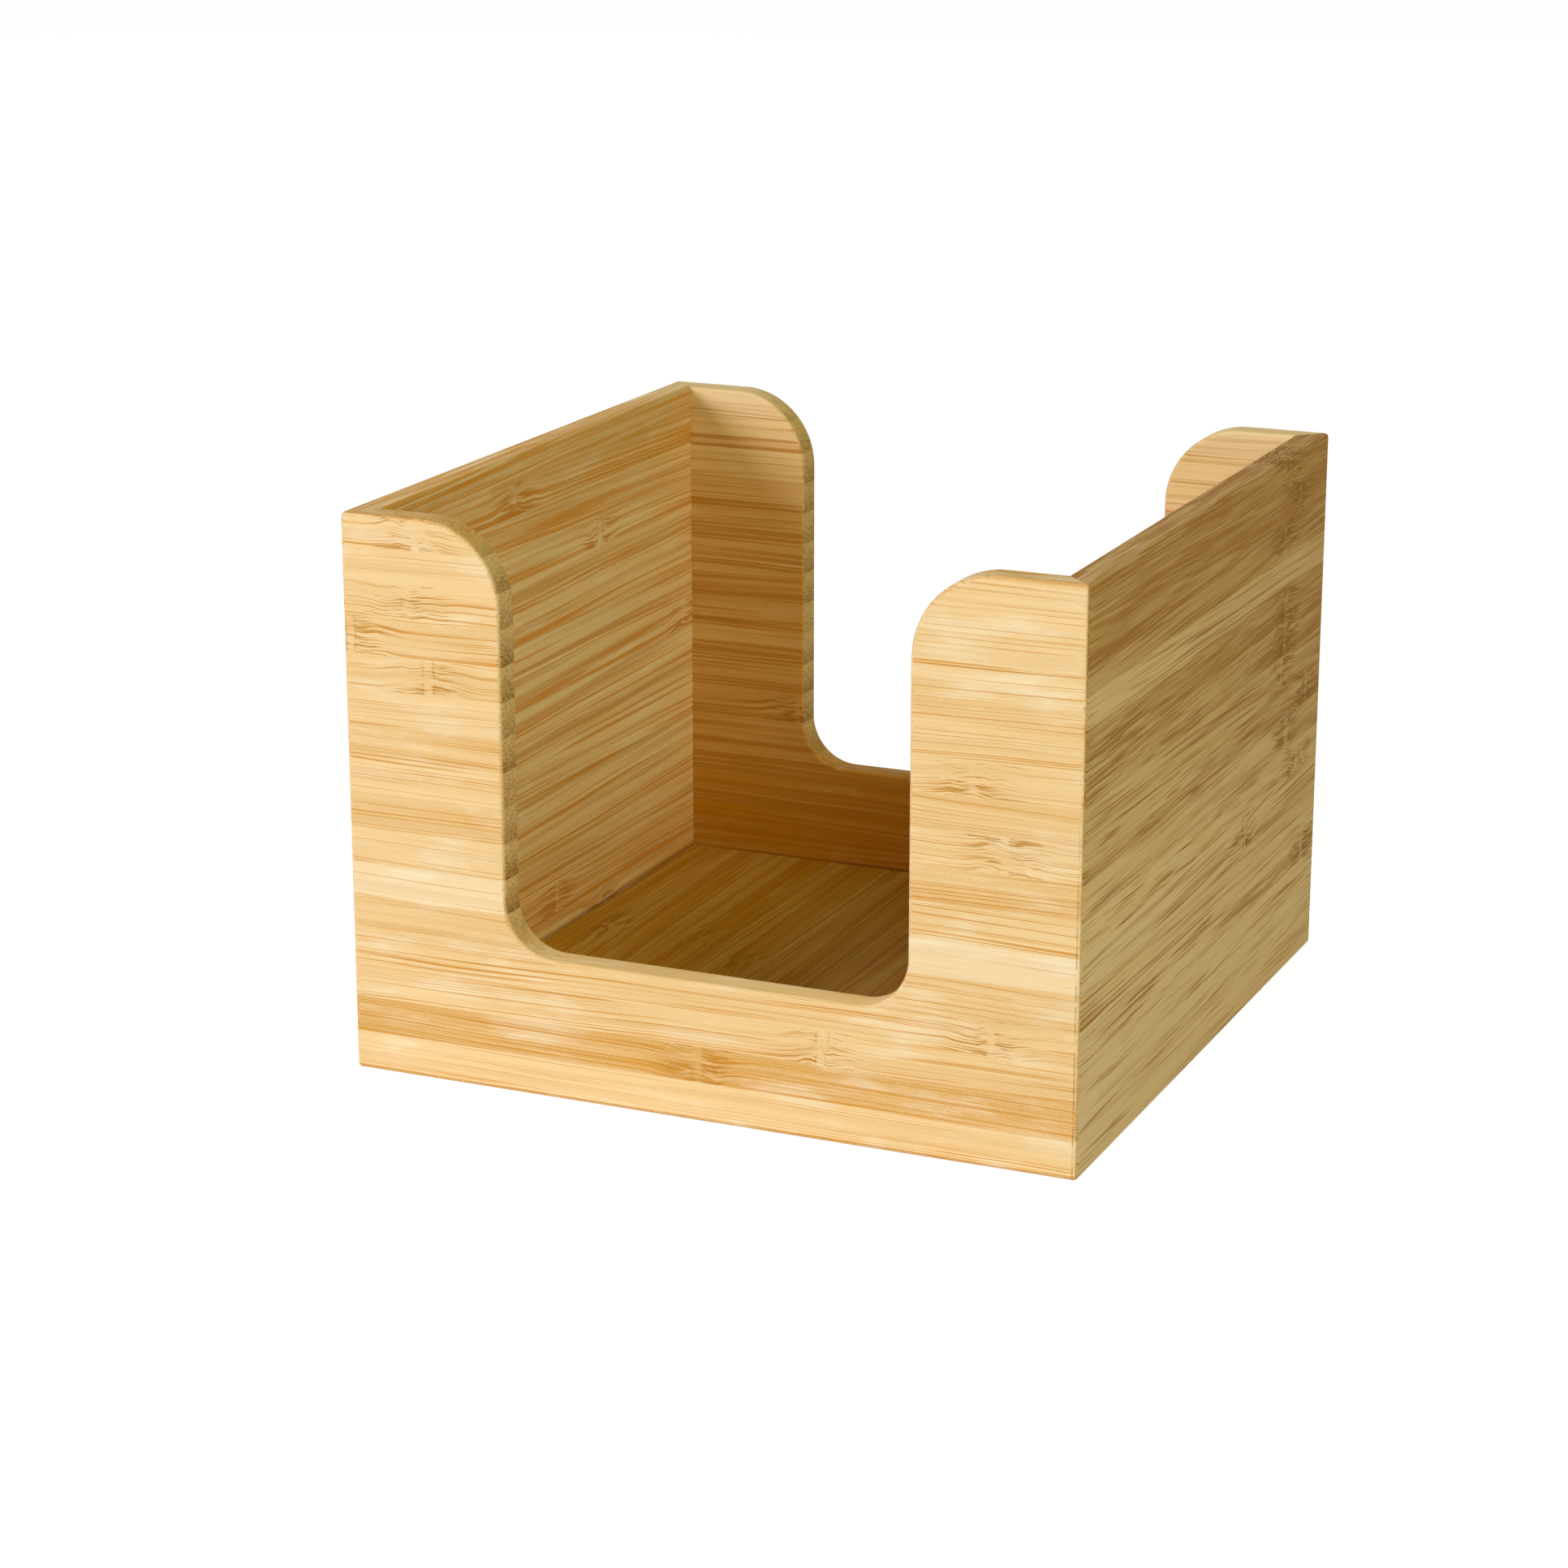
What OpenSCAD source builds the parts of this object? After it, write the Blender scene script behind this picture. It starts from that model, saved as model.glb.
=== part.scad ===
// Napkin holder: a square bamboo box, open at the top, with a U-shaped hand cut-out front and back.
// Four boards are mitred at the upright corners and held by stopped loose splines across the mitres.
// The floor board has a tongue all round that lies loose in grooves in the four walls.
// Millimetres. +Z is up, the front faces -Y, and the origin is at the middle of the foot.

/* [Box] */
// Outside width, left to right
holder_w = 145; // [120:1:200]
// Outside depth, front to back
holder_d = 145; // [120:1:200]
// Height from the table to the rim
holder_h = 108; // [80:1:160]
// Thickness of the four wall boards
board_t = 6; // [5:0.5:9]
// Rounding of the outer upright corners
corner_r = 0.8; // [0.3:0.1:1.5]

/* [Hand cut-outs] */
// Width of the cut-out in the front and back boards
cutout_w = 80; // [50:1:95]
// Height of the cut-out's sill above the table
sill_h = 27; // [18:1:50]
// Rounding at the top of the posts beside the cut-out
post_r = 16; // [4:1:20]
// Rounding at the lower corners of the cut-out
sill_r = 10; // [4:1:20]

/* [Floor] */
// Thickness of the floor board
base_t = 5; // [3:0.5:8]
// Height of the floor board's underside above the table
base_lift = 1; // [0.5:0.5:3]
// Shadow gap between the floor board's edge and the walls
base_gap = 0.4; // [0.2:0.1:1]
// Thickness of the tongue round the floor board
tongue_t = 2.5; // [1.5:0.25:3]
// Depth of the wall grooves that hold the tongue
groove_depth = 3; // [2:0.25:3.5]
// Room above the tongue in its groove
groove_play = 0.2; // [0.1:0.05:0.4]
// Room past the tongue's edge, for the floor to swell
swell_gap = 0.5; // [0.2:0.1:1]

/* [Corner splines] */
// Thickness of a spline
spline_t = 1.5; // [1:0.1:2]
// Width of a spline across the mitre, half of it in each board
spline_w = 5; // [3:0.5:5]
// Distance from the inner corner to the spline, along the mitre
spline_setback = 2; // [1:0.25:2]
// Height of the spline's lower end above the table
spline_foot = 12; // [10:1:25]
// Distance of the spline's upper end below the rim
spline_head = 12; // [8:1:25]
// Room for glue round a spline
glue_gap = 0.1; // [0.05:0.05:0.2]

/* [Hidden] */
$fn = 64;
// Cuts run this far past the faces that they open
past = 1;

inner_w = holder_w - 2 * board_t;
inner_d = holder_d - 2 * board_t;

post_w = (holder_w - cutout_w) / 2;
cutout_h = holder_h - sill_h;
post_round = min(post_r, post_w - board_t, cutout_h / 2);
sill_round = min(sill_r, cutout_w / 2, cutout_h / 2);

tongue_z = base_lift + (base_t - tongue_t) / 2;
tongue_reach = groove_depth - swell_gap;

spline_len = holder_h - spline_head - spline_foot;

bamboo = "#d8b27a";
bamboo_floor = "#b98a4c";
bamboo_spline = "#c9a165";

// Plan of one mitred board: outer face at y = -face, mitres at both ends, outer corners rounded
module board_plan(run, face) {
    mid = run / 2 - corner_r;
    intersection() {
        polygon([
            [-run / 2, -face],
            [run / 2, -face],
            [run / 2 - board_t, board_t - face],
            [board_t - run / 2, board_t - face]
        ]);
        union() {
            translate([-mid, -face]) square([2 * mid, board_t]);
            for (side = [-1, 1]) translate([side * mid, corner_r - face]) circle(corner_r);
        }
    }
}

// Space that the four wall grooves leave for the tongue: it stands on the grooves' lower faces
module tongue_space() {
    translate([0, 0, tongue_z + (tongue_t + groove_play) / 2])
        cube([inner_w + 2 * groove_depth, inner_d + 2 * groove_depth, tongue_t + groove_play], center = true);
}

// Moves to an inner corner, with +X running out along the mitre
module at_corner(side_x, side_y) {
    translate([side_x * inner_w / 2, side_y * inner_d / 2, spline_foot])
        rotate(atan2(side_y, side_x)) children();
}

// Spline across the mitre of one corner
module spline(side_x, side_y) {
    at_corner(side_x, side_y)
        translate([spline_setback, -spline_w / 2, 0]) cube([spline_t, spline_w, spline_len]);
}

// Slots that the splines stand in, with room for glue round the sides and at the top
module spline_slots() {
    for (side_x = [-1, 1], side_y = [-1, 1])
        at_corner(side_x, side_y)
            translate([spline_setback - glue_gap, -spline_w / 2 - glue_gap, 0])
                cube([spline_t + 2 * glue_gap, spline_w + 2 * glue_gap, spline_len + glue_gap]);
}

// Outline of the hand cut-out, seen from the front
module cutout_outline() {
    half = cutout_w / 2;
    translate([-half, sill_h + sill_round]) square([cutout_w, cutout_h - sill_round + past]);
    translate([sill_round - half, sill_h]) square([cutout_w - 2 * sill_round, 2 * sill_round]);
    for (side = [-1, 1]) {
        translate([side * (half - sill_round), sill_h + sill_round]) circle(sill_round);
        translate([side * (half + post_round), holder_h - post_round]) difference() {
            translate([side < 0 ? 0 : -post_round, 0]) square([post_round, post_round + past]);
            circle(post_round);
        }
    }
}

// One wall board, turned to its side of the box, with its groove and spline slots
module wall(run, face, turn) {
    difference() {
        rotate(turn) linear_extrude(holder_h) board_plan(run, face);
        tongue_space();
        spline_slots();
    }
}

// A front or back board: a wall with the hand cut-out
module cutout_wall(turn) {
    difference() {
        wall(holder_w, holder_d / 2, turn);
        rotate([90, 0, 0]) linear_extrude(holder_d + 2 * past, center = true) cutout_outline();
    }
}

module front_panel() {
    color(bamboo) cutout_wall(0);
}

module back_panel() {
    color(bamboo) cutout_wall(180);
}

module left_panel() {
    color(bamboo) wall(holder_d, holder_w / 2, -90);
}

module right_panel() {
    color(bamboo) wall(holder_d, holder_w / 2, 90);
}

module base_panel() {
    color(bamboo_floor) {
        translate([0, 0, base_lift + base_t / 2])
            cube([inner_w - 2 * base_gap, inner_d - 2 * base_gap, base_t], center = true);
        translate([0, 0, tongue_z + tongue_t / 2])
            cube([inner_w + 2 * tongue_reach, inner_d + 2 * tongue_reach, tongue_t], center = true);
    }
}

module front_left_spline() {
    color(bamboo_spline) spline(-1, -1);
}

module front_right_spline() {
    color(bamboo_spline) spline(1, -1);
}

module back_left_spline() {
    color(bamboo_spline) spline(-1, 1);
}

module back_right_spline() {
    color(bamboo_spline) spline(1, 1);
}

front_panel();
back_panel();
left_panel();
right_panel();
base_panel();
front_left_spline();
front_right_spline();
back_left_spline();
back_right_spline();
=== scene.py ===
"""Bamboo napkin holder: its boards, floor, finishes and studio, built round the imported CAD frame."""

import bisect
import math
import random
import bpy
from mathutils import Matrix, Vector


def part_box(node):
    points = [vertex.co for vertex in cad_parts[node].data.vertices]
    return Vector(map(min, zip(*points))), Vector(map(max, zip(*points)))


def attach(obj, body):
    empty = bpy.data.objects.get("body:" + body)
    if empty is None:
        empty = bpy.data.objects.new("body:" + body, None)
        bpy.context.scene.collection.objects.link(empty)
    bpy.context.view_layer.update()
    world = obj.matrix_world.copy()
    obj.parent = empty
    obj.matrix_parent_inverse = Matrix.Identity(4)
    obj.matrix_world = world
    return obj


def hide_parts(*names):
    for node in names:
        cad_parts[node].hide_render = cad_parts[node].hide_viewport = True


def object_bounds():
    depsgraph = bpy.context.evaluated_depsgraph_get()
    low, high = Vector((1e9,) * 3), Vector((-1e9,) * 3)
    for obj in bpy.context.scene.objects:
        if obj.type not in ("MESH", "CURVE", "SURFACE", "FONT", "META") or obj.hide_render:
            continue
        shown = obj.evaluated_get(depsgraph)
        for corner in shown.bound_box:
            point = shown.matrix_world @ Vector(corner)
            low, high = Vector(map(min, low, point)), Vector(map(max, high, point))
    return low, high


bl_info = {
    "name": "Bamboo Napkin Holder",
    "version": (1, 0, 0),
    "blender": (4, 5, 0),
    "location": "View3D > Sidebar > Napkin Holder",
    "description": "Models the mitred bamboo boards of a napkin holder, their finish and a small studio",
    "category": "Add Mesh",
}

from collections import namedtuple

import bmesh
import bpy
from bpy.props import FloatProperty, FloatVectorProperty, PointerProperty
from mathutils import Vector

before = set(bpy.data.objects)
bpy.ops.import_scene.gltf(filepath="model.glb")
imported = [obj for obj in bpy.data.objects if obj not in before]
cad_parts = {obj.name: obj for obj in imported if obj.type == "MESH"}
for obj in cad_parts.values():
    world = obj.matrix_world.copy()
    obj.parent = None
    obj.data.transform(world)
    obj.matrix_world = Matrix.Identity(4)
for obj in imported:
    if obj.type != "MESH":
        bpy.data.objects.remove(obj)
CAD_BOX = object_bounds()

MM = 0.001

HOLDER_LOW, HOLDER_HIGH = CAD_BOX
FRONT_LOW, FRONT_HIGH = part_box("front_panel")
FLOOR_LOW, FLOOR_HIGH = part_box("base_panel")
SPLINE_LOW, SPLINE_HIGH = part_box("front_left_spline")
BOARD_T = FRONT_HIGH.y - FRONT_LOW.y

# Curved edges are drawn with this many flats
POST_FLATS = 24
ARRIS_FLATS = 3
# Cutting blocks run this far past the faces that they open
PAST = 10 * MM
# A cutting block's face that would lie in a face of the piece stands off it by this much
CLEAR = 0.05 * MM
# Edges that turn more than this are arrises, and are eased by hand with sandpaper
ARRIS_ANGLE = math.radians(50)
SMOOTH_ANGLE = math.radians(40)
# Past this distance from the middle of a board its mitres begin
MITRE_FROM = FRONT_HIGH.x - 2 * BOARD_T
# The walls' inner faces lie just inside this distance from the middle of the holder
INNER_FACE = HOLDER_HIGH.x - BOARD_T + 0.1 * MM
# The front board's mitre shows as a line this far from the middle of the holder
MITRE_LINE = HOLDER_HIGH.x - 0.85 * MM
# Cosines: from these on a face faces an axis and an edge runs along one; below the last a face is upright
FACING, ALONG, UPRIGHT = 0.9, 0.999, 0.1
# Places closer than the first are the same, and the saw merges points closer than the second, in metres
TOUCH, SAW_MERGE = 1e-6, 1e-7
# The narrowest strip at an edge, and how far a glue line strays, in mm
LEAST_STRIP, SEAM_STRAYS = 0.5, 0.25
# Range of the numbers that make strips differ, and how far fibres arch at a growth ring, in mm
STRIP_NUMBERS, ARCH = (0, 40), (0.4, 0.9)
# Slant from which a face shows end grain, how much more shows all of it, and the share on a mitre's edge
SAWN_FROM, SAWN_OVER, MITRE_SAWN = 0.6, 0.35, 0.25
# A strip without a knuckle has its nearest one this far off, in mm
NO_KNUCKLE = 400.0

# Axes of the frame
X, Y, Z = range(3)

# Glue-up of one board. run, stack and depth: the axes along the strips, across them and into the board.
# first_seam and pitch: where the glue lines start and how far apart they are, in mm. tones: strip by
# strip from the foot up, or from the left for the floor, where 0 is pale straw and 1 is amber.
# knuckles: a strip's number and the place of its growth ring along the board, in mm. scars: the strips
# whose ring shows its scar. turned: the strips with the hard skin side of the cane at the top.
# gain: how much the tones darken from the middle of the board to its far or right end, painted shade.
# rim: how much darker the top faces of the upper edge are, or paler below 0, painted shade and painted
# light.
Board = namedtuple(
    "Board", "node run stack depth first_seam pitch seed tones knuckles scars turned gain rim",
    defaults=((), (), 0.0, 0.0),
)

FRONT = Board(
    node="front_panel", run=X, stack=Z, depth=Y, first_seam=0.9, pitch=6.75, seed=11,
    tones=(0.9, 0.1, 0.8, 0.2, 0.2, 0.25, -0.7, 0.15, 0.45, 0.15, 0.3, 0.1, 0.2, 0.3, 0.1, 0.15, 0.15),
    knuckles={0: 0, 2: -1, 3: 23.5, 4: 56, 9: 58, 11: 52, 12: -55, 13: -71, 14: -59, 16: -57},
    scars=(3, 12, 13), rim=0.7,
)
RIGHT = Board(
    node="right_panel", run=Y, stack=Z, depth=X, first_seam=0.7, pitch=6.75, seed=23,
    # Besides each strip's own tone, the lower strips are paler and the upper ones darker: painted light
    # from the bright table below and painted shade higher up
    tones=(-0.1, -0.15, -0.2, -0.1, 0.0, 0.1, -0.1, 0.1, 0.3, 0.45, 0.5, 0.65, 0.8, 0.3, 0.8, 1.0, 0.9),
    knuckles={4: 63, 6: 23, 7: 57, 8: 49, 9: 62, 10: 44, 11: 46, 12: 46, 14: 44, 15: 53, 16: 46},
    scars=(6, 11), turned=(14, 15, 16), gain=0.2, rim=-0.3,
)
LEFT = Board(
    node="left_panel", run=Y, stack=Z, depth=X, first_seam=3.2, pitch=6.63, seed=37,
    tones=(0.3, 0.3, 0.2, -0.2, -0.5, -0.6, -0.5, -0.6, -0.7, -0.4, -0.5, -0.2, -0.2, -0.2, 0.0, 0.5, 0.6),
    knuckles={1: 20, 2: 0, 9: 62, 13: 22, 15: -15}, scars=(13,), turned=(16,), rim=-0.6,
)
BACK = Board(
    node="back_panel", run=X, stack=Z, depth=Y, first_seam=3.3, pitch=6.6, seed=41,
    # Besides each strip's own tone, the strips grow darker towards the foot: painted shade low on the back
    # wall inside the box
    tones=(1.4, 1.4, 1.4, 1.2, 1.0, 0.8, 0.7, 0.75, 0.6, 0.7, 0.8, 0.7, 0.6, 0.4, 0.0, -0.2, -0.8),
    knuckles={6: -41.5, 9: 50, 12: 58},
)
FLOOR = Board(
    node="base_panel", run=Y, stack=X, depth=Z, first_seam=-67.8, pitch=6.8, seed=53,
    # Dark honey all over: partly the floor's own colour and partly painted shade inside the box
    tones=(
        1.2, 1.3, 1.0, 1.2, 1.1, 1.4, 1.05, 1.25, 1.0, 1.3, 1.15,
        1.05, 1.4, 1.1, 1.2, 1.0, 1.3, 1.1, 1.2, 1.15, 1.2,
    ),
    knuckles={2: 8, 5: 8, 7: -2, 12: 40, 15: -30},
)


class HolderSizes(bpy.types.PropertyGroup):
    """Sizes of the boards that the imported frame's boxes don't give."""

    cutout_w: FloatProperty(
        name="Cut-out Width", description="Width of the hand cut-out in the front and back boards",
        default=80 * MM, unit="LENGTH",
    )
    sill_h: FloatProperty(
        name="Sill Height", description="Height of the cut-out's sill above the table",
        default=27 * MM, unit="LENGTH",
    )
    post_r: FloatProperty(
        name="Post Rounding", description="Rounding at the top of the posts beside the cut-out",
        default=16 * MM, unit="LENGTH",
    )
    sill_r: FloatProperty(
        name="Sill Rounding", description="Rounding at the lower corners of the cut-out",
        default=10 * MM, unit="LENGTH",
    )
    corner_r: FloatProperty(
        name="Eased Edges", description="Rounding of the sanded corners and edges of the walls",
        default=0.8 * MM, unit="LENGTH",
    )
    floor_r: FloatProperty(
        name="Eased Floor", description="Rounding of the floor board's upper edges",
        default=0.3 * MM, unit="LENGTH",
    )
    mitre_line: FloatProperty(
        name="Mitre Line", description="Width of the fine chamfer on each side of a mitre joint",
        default=0.05 * MM, unit="LENGTH",
    )
    base_lift: FloatProperty(
        name="Floor Lift", description="Height of the floor board's underside above the table",
        default=FLOOR_LOW.z, unit="LENGTH",
    )
    base_gap: FloatProperty(
        name="Floor Gap", description="Shadow gap between the floor board's edge and the walls",
        default=0.4 * MM, unit="LENGTH",
    )
    tongue_t: FloatProperty(
        name="Tongue Thickness", description="Thickness of the tongue round the floor board",
        default=2.5 * MM, unit="LENGTH",
    )
    groove_depth: FloatProperty(
        name="Groove Depth", description="Depth of the wall grooves that hold the tongue",
        default=3 * MM, unit="LENGTH",
    )
    groove_play: FloatProperty(
        name="Groove Play", description="Room above the tongue in its groove",
        default=0.2 * MM, unit="LENGTH",
    )
    spline_t: FloatProperty(
        name="Spline Thickness", description="Thickness of a corner spline",
        default=1.5 * MM, unit="LENGTH",
    )
    spline_w: FloatProperty(
        name="Spline Width", description="Width of a corner spline across the mitre",
        default=5 * MM, unit="LENGTH",
    )
    spline_setback: FloatProperty(
        name="Spline Setback", description="Distance from the inner corner to the spline, along the mitre",
        default=2 * MM, unit="LENGTH",
    )
    glue_gap: FloatProperty(
        name="Glue Gap", description="Room for glue round a spline",
        default=0.1 * MM, unit="LENGTH",
    )


def linear(code):
    """Turns an sRGB hex colour into the linear values that Blender works in."""
    shares = [int(code[i:i + 2], 16) / 255 for i in (1, 3, 5)]
    return [s / 12.92 if s <= 0.04045 else ((s + 0.055) / 1.055) ** 2.4 for s in shares]


class BambooColours(bpy.types.PropertyGroup):
    """Colours of the bamboo strips under their lacquer."""

    pale: FloatVectorProperty(
        name="Pale Strip", description="Straw of the palest strips", subtype="COLOR",
        default=linear("#F9DAAE"), min=0, max=1,
    )
    amber: FloatVectorProperty(
        name="Amber Strip", description="Honey of the darkest strips", subtype="COLOR",
        default=linear("#E0AE64"), min=0, max=1,
    )
    # Painted shade: the olive honey of the strips of the right wall, which stands in shade
    shade_olive: FloatVectorProperty(
        name="Olive Strip", description="Duller honey of older canes", subtype="COLOR",
        default=linear("#CDA25C"), min=0, max=1,
    )
    skin: FloatVectorProperty(
        name="Skin Streaks", description="Orange brown of the streaks on the hard side of a strip",
        subtype="COLOR", default=linear("#D29A4C"), min=0, max=1,
    )
    line: FloatVectorProperty(
        name="Fibre Lines", description="Orange brown of the fibre bundles along a strip", subtype="COLOR",
        default=linear("#DE9A34"), min=0, max=1,
    )
    fibre: FloatVectorProperty(
        name="Dark Fibres", description="Brown of the fibre bundles at a growth ring and on sawn ends",
        subtype="COLOR", default=linear("#96682A"), min=0, max=1,
    )
    # Also the colour of the pale specks, painted sparkle of light on the pores
    bloom: FloatVectorProperty(
        name="Bloom", description="Cream of the sanded bloom and of the pores", subtype="COLOR",
        default=linear("#FFF2E0"), min=0, max=1,
    )
    end_grain: FloatVectorProperty(
        name="End Grain", description="Khaki of the soft tissue on sawn ends", subtype="COLOR",
        default=linear("#E8CCA4"), min=0, max=1,
    )
    # Dark brown of the glue line at a mitre, and of painted shade in the joint of the walls with the floor
    joint: FloatVectorProperty(
        name="Joint Lines", description="Dark brown of lacquer and glue in the joints of the boards",
        subtype="COLOR", default=linear("#5A3810"), min=0, max=1,
    )


class StudioSettings(bpy.types.PropertyGroup):
    """Camera and light of the studio."""

    key: FloatProperty(
        name="Key Light", description="Power of the soft lamp at the front left",
        default=25.6, unit="POWER",
    )
    fill: FloatProperty(
        name="Fill Light", description="Power of the warm lamp at the right",
        default=13.8, unit="POWER",
    )
    back: FloatProperty(
        name="Back Light", description="Power of the low lamp behind the holder",
        default=10.0, unit="POWER",
    )
    around: FloatProperty(
        name="Light Around", description="Strength of the room's light at the horizon", default=0.1,
    )
    overhead: FloatProperty(
        name="Light Overhead", description="Strength of the room's light overhead", default=0.2,
    )
    table: FloatProperty(
        name="Table Light", description="Light that the table throws up round the holder", default=0.1,
    )
    tint: FloatVectorProperty(
        name="Room Tint", description="Colour of the room's light", subtype="COLOR",
        default=(1.0, 0.95, 0.4), min=0, max=1,
    )
    key_tint: FloatVectorProperty(
        name="Key Tint", description="Colour of the key lamp's light", subtype="COLOR",
        default=(1.0, 0.94, 0.92), min=0, max=1,
    )
    fill_tint: FloatVectorProperty(
        name="Fill Tint", description="Colour of the fill lamp's light", subtype="COLOR",
        default=(1.0, 0.96, 0.46), min=0, max=1,
    )
    back_tint: FloatVectorProperty(
        name="Back Tint", description="Colour of the back lamp's light", subtype="COLOR",
        default=(1.0, 0.95, 0.8), min=0, max=1,
    )
    lens: FloatProperty(
        name="Lens", description="Focal length on a 36 mm sensor, in millimetres",
        default=89.5, unit="CAMERA",
    )


def select_only(*pieces):
    """Selects these objects and nothing else; the last one becomes the active one."""
    bpy.ops.object.select_all(action="DESELECT")
    for piece in pieces:
        piece.select_set(True)
        bpy.context.view_layer.objects.active = piece


def start_block(name, low, high):
    """Adds a block between two corners, with its place in its mesh."""
    bpy.ops.object.select_all(action="DESELECT")
    low, high = Vector(low), Vector(high)
    bpy.ops.mesh.primitive_cube_add(size=1, location=(low + high) / 2, scale=high - low)
    block = bpy.context.object
    block.name = name
    bpy.ops.object.transform_apply(location=True, rotation=True, scale=True)
    return block


def pick(piece, kind, wanted):
    """In edit mode, selects only the faces or edges that a test of their place or normal wants."""
    bpy.ops.mesh.select_mode(type=kind)
    bpy.ops.mesh.select_all(action="DESELECT")
    mesh = bmesh.from_edit_mesh(piece.data)
    mesh.normal_update()
    parts = mesh.faces if kind == "FACE" else mesh.edges
    found = [part for part in parts if wanted(part)]
    if not found:
        raise RuntimeError(f"{piece.name} has no such {kind.lower()} to work on")
    for part in found:
        part.select_set(True)
    bmesh.update_edit_mesh(piece.data)


def runs(edge, axis, **place):
    """True for an edge along an axis, at the given distances from the middle planes or the table."""
    first, second = (end.co for end in edge.verts)
    along = (second - first).normalized()
    at = all(abs(abs(getattr(first, name)) - value) < TOUCH for name, value in place.items())
    return abs(getattr(along, axis)) > ALONG and at


def ease(edges_wide, flats):
    """Rounds the selected edges."""
    bpy.ops.mesh.bevel(offset=edges_wide, segments=flats, profile=0.5, affect="EDGES", clamp_overlap=False)


def cut_away(piece, cutter):
    """Cuts one block out of a piece and throws the block away."""
    select_only(piece)
    cut = piece.modifiers.new("cut", "BOOLEAN")
    cut.operation = "DIFFERENCE"
    cut.solver = "EXACT"
    cut.object = cutter
    bpy.ops.object.modifier_apply(modifier=cut.name)
    bpy.data.objects.remove(cutter)


def seams_of(board, low, high):
    """Heights of the glue lines of a board in mm, a little uneven as hand-fed strips are."""
    draw = random.Random(board.seed)
    seams = [low]
    place = board.first_seam
    while place < high - LEAST_STRIP:
        if place > low + LEAST_STRIP:
            seams.append(place + draw.uniform(-SEAM_STRAYS, SEAM_STRAYS))
        place += board.pitch
    return seams + [high]


def model_ring(sizes):
    """Models the four walls as one ring: a block, bored out square, with the cut-outs and eased edges."""
    half_w, half_d, top = HOLDER_HIGH
    ring = start_block("wall_ring", HOLDER_LOW, HOLDER_HIGH)
    bpy.ops.object.mode_set(mode="EDIT")
    pick(ring, "FACE", lambda face: abs(face.normal.z) > FACING)
    bpy.ops.mesh.inset(thickness=BOARD_T)
    bpy.ops.mesh.bridge_edge_loops()
    bpy.ops.object.mode_set(mode="OBJECT")

    # Wings on the cutting block round the tops of the posts
    half_cut = sizes.cutout_w / 2
    wing_z = top + CLEAR
    cutter = start_block(
        "cutout_block", (-half_cut, -half_d - PAST, sizes.sill_h), (half_cut, half_d + PAST, wing_z),
    )
    bpy.ops.object.mode_set(mode="EDIT")
    pick(cutter, "EDGE", lambda edge: runs(edge, "y", x=half_cut, z=sizes.sill_h))
    ease(sizes.sill_r, POST_FLATS)
    pick(cutter, "FACE", lambda face: face.normal.z > FACING)
    bpy.ops.mesh.extrude_region_move(TRANSFORM_OT_translate={"value": (0, 0, PAST)})
    for side in (-1, 1):
        pick(
            cutter, "FACE",
            lambda face: face.normal.x * side > FACING and face.calc_center_median().z > wing_z,
        )
        wing = side * (sizes.post_r + PAST)
        bpy.ops.mesh.extrude_region_move(TRANSFORM_OT_translate={"value": (wing, 0, 0)})
    pick(cutter, "EDGE", lambda edge: runs(edge, "y", x=half_cut, z=wing_z))
    ease(sizes.post_r, POST_FLATS)
    bpy.ops.object.mode_set(mode="OBJECT")
    cut_away(ring, cutter)

    # Every arris that a hand can touch is sanded round; the inner upright corners stay sharp
    inner_w, inner_d = half_w - BOARD_T, half_d - BOARD_T

    def arris(edge):
        inner_corner = runs(edge, "z", x=inner_w, y=inner_d)
        inner_foot = runs(edge, "x", y=inner_d, z=0) or runs(edge, "y", x=inner_w, z=0)
        return edge.calc_face_angle(0) > ARRIS_ANGLE and not inner_corner and not inner_foot

    bpy.ops.object.mode_set(mode="EDIT")
    pick(ring, "EDGE", arris)
    ease(sizes.corner_r, ARRIS_FLATS)
    bpy.ops.object.mode_set(mode="OBJECT")
    return ring


def model_slots(sizes):
    """Blocks out the room that the floor's tongue and the corner splines take in the walls."""
    half_w, half_d, _ = HOLDER_HIGH
    floor_t = FLOOR_HIGH.z - FLOOR_LOW.z
    reach = Vector((half_w - BOARD_T + sizes.groove_depth, half_d - BOARD_T + sizes.groove_depth))
    foot = sizes.base_lift + (floor_t - sizes.tongue_t) / 2
    slots = start_block(
        "slot_blocks", (-reach.x, -reach.y, foot),
        (reach.x, reach.y, foot + sizes.tongue_t + sizes.groove_play),
    )
    bpy.ops.object.mode_set(mode="EDIT")
    thick = sizes.spline_t + 2 * sizes.glue_gap
    wide = sizes.spline_w + 2 * sizes.glue_gap
    tall = SPLINE_HIGH.z - SPLINE_LOW.z + sizes.glue_gap
    out = (sizes.spline_setback + sizes.spline_t / 2) / math.sqrt(2)
    for side_x in (-1, 1):
        for side_y in (-1, 1):
            bpy.ops.mesh.primitive_cube_add(
                size=1,
                location=(
                    side_x * (half_w - BOARD_T + out), side_y * (half_d - BOARD_T + out),
                    SPLINE_LOW.z + tall / 2,
                ),
                rotation=(0, 0, math.atan2(side_y, side_x)),
                scale=(thick, wide, tall),
            )
    bpy.ops.object.mode_set(mode="OBJECT")
    return slots


def saw_mitre(piece, corner, normal, sizes):
    """Saws a board off square to a plane through a corner, and breaks the sharp edge of the saw cut."""
    bpy.ops.mesh.select_mode(type="FACE")
    bpy.ops.mesh.select_all(action="SELECT")
    bpy.ops.mesh.bisect(
        plane_co=corner, plane_no=normal, use_fill=True, clear_outer=True, threshold=SAW_MERGE,
    )
    pick(piece, "FACE", lambda face: face.normal.dot(normal) > ALONG)
    bpy.ops.mesh.region_to_loop()
    ease(sizes.mitre_line, 1)


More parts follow.
